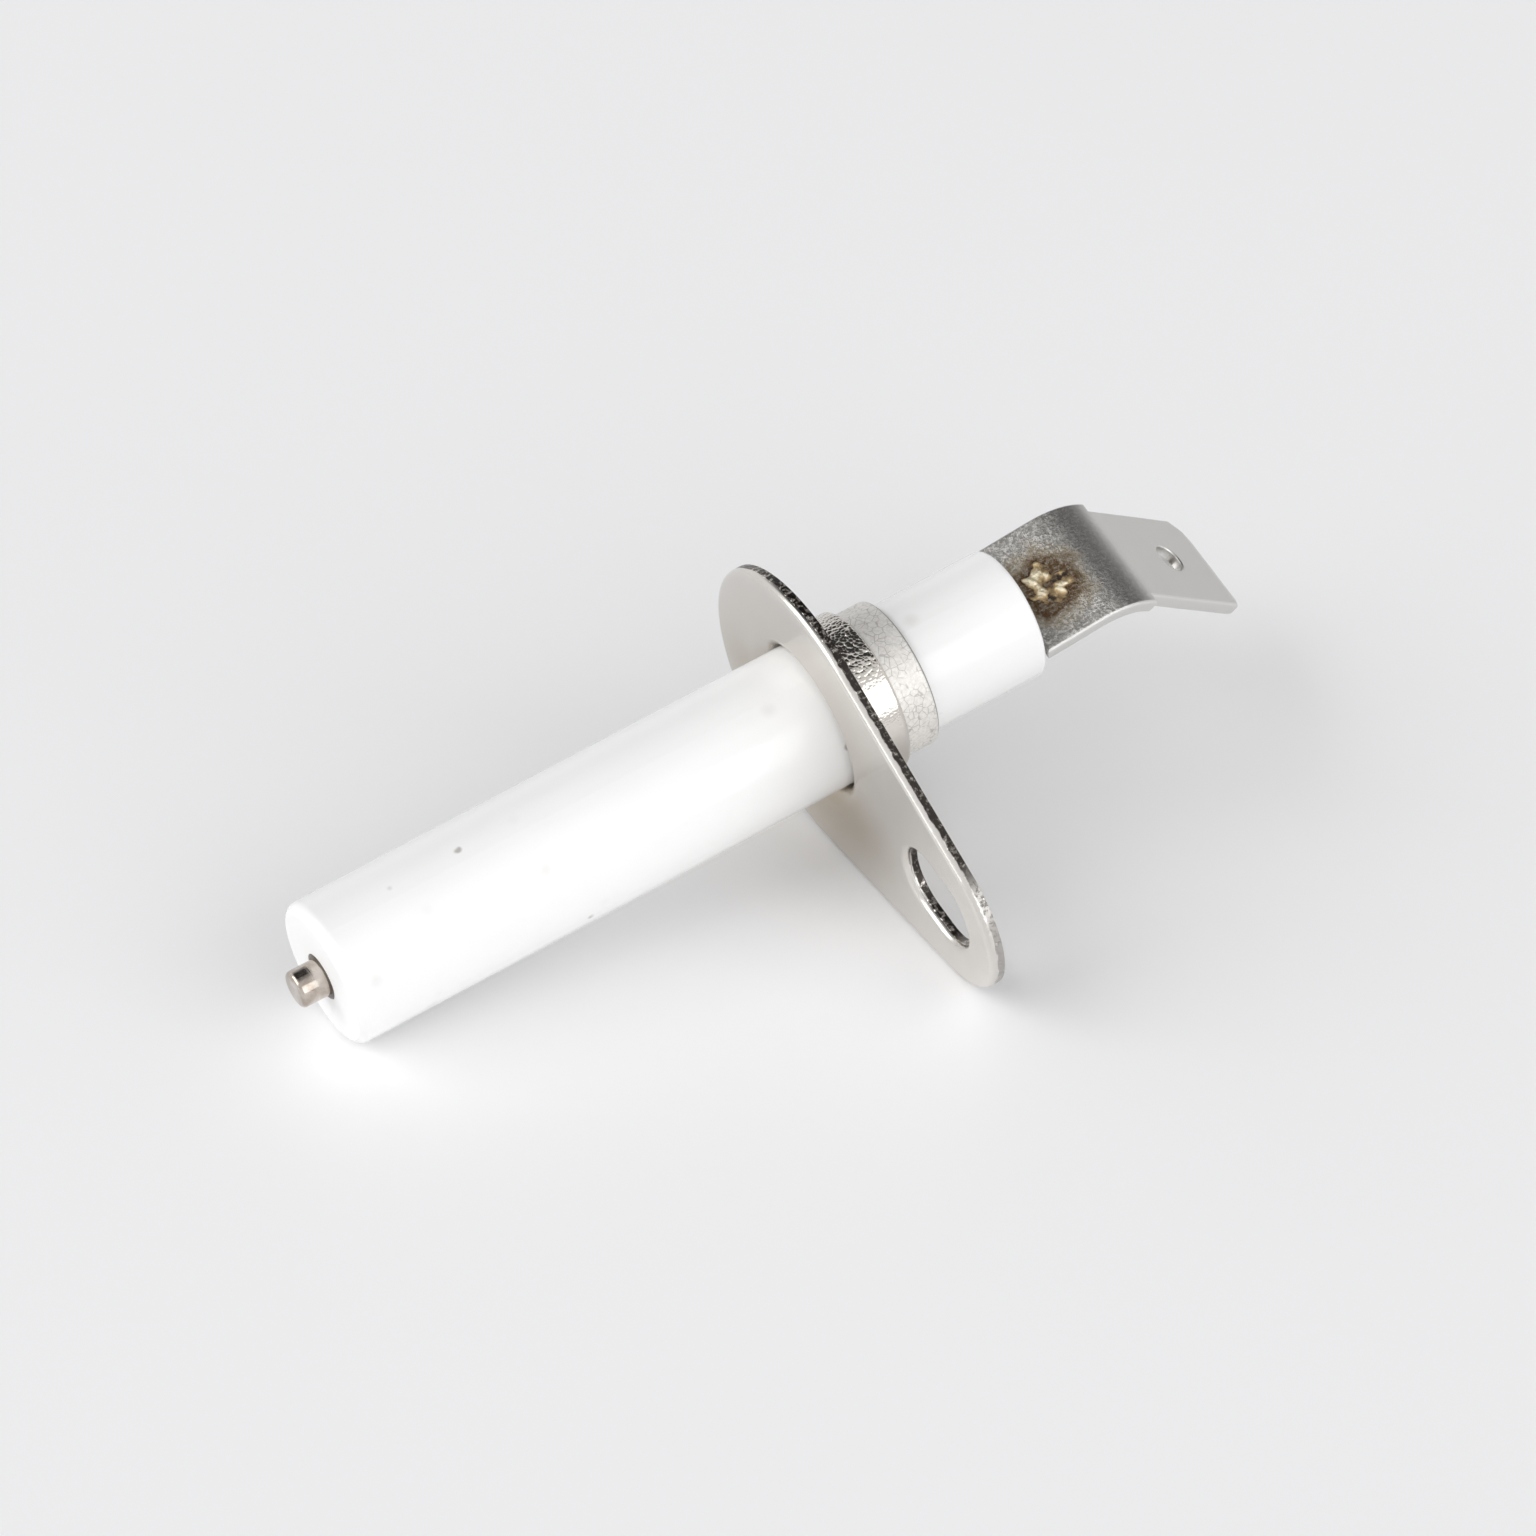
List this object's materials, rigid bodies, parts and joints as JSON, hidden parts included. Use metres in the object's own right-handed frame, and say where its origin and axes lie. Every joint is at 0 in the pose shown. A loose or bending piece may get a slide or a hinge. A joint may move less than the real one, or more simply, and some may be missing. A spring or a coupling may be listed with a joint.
{
  "type": "ignition electrode",
  "caption": "Spark electrode: stepped ceramic tube with a metal rod, in a sheet flange with a slotted ear, and a bent push-on blade welded to the rod's tail.",
  "frame": {"origin": "where the insulator's axis crosses the plane of the flange's front (seating) face", "axes": "+X along the insulator to the spark tip and out of the flange's front face, +Y to the slotted ear, +Z to the side of the rod that the terminal is welded on"},
  "size_m": [0.0574, 0.0269, 0.0176],
  "materials": {
    "insulator": "glossy white glaze",
    "rod": "drawn heat-resistant steel wire, slightly browned",
    "cement": "matt off-white cement",
    "flange": "satin nickel plate, grained by drawing on the collar",
    "terminal": "dull nickel plate, frosted near the weld",
    "weld": "rough weld metal with straw and brown heat tint"
  },
  "bodies": {
    "root": {"ceramic_insulator": "insulator", "electrode_rod": "rod", "bore_cement": "cement", "mounting_flange": "flange", "terminal_tab": "terminal", "weld_nugget": "weld"}
  },
  "joints": []
}
